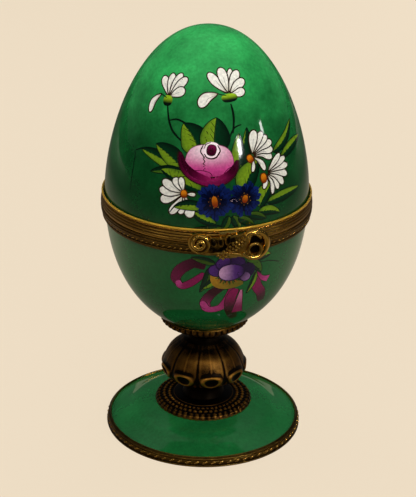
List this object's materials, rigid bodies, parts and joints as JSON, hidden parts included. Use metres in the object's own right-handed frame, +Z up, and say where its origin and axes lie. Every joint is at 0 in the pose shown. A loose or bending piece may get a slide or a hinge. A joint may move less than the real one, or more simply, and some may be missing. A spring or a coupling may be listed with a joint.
{
  "type": "trinket box",
  "caption": "Egg-shaped green porcelain trinket box on a brass stem and a domed porcelain foot, with a hinged lid, brass rims and a snap clasp.",
  "frame": {"origin": "centre of the plane the foot rests on", "axes": "+Z up along the egg's axis, -Y towards the clasp, +Y towards the hinge, +X to the right as seen from the clasp"},
  "size_m": [0.0596, 0.066, 0.1211],
  "materials": {
    "green_glaze": "glossy mottled emerald glaze, white inside",
    "aged_brass": "antique, dark in the recesses and rubbed bright on the high points",
    "bright_brass": "satin"
  },
  "bodies": {
    "base": {"foot_porcelain": "green_glaze", "foot_rim": "aged_brass", "stem_flange": "aged_brass", "stem": "aged_brass", "seat_cup": "aged_brass", "bowl_porcelain": "green_glaze", "bowl_rim": "aged_brass", "bowl_hinge_leaf": "aged_brass", "hinge_pin": "bright_brass", "catch_bead": "bright_brass", "tie_rod": "bright_brass", "bowl_washer": "bright_brass", "bowl_cap_nut": "bright_brass", "foot_washer": "bright_brass", "foot_hex_nut": "bright_brass"},
    "lid": {"lid_porcelain": "green_glaze", "lid_rim": "aged_brass", "lid_hinge_leaf": "aged_brass", "clasp_pad": "aged_brass"},
    "clasp": {"clasp_tongue": "bright_brass", "clasp_bow": "aged_brass"}
  },
  "joints": [
    {"name": "lid_hinge", "type": "hinge", "parent": "base", "child": "lid", "pos_m": [0, 0.0315, 0.0702], "axis": [-1, 0, 0], "range_deg": [0, 100]},
    {"name": "clasp_flex", "type": "hinge", "parent": "lid", "child": "clasp", "pos_m": [0, -0.0309, 0.0738], "axis": [-1, 0, 0], "range_deg": [0, 5], "stiffness_Nm_per_rad": 0.1}
  ]
}
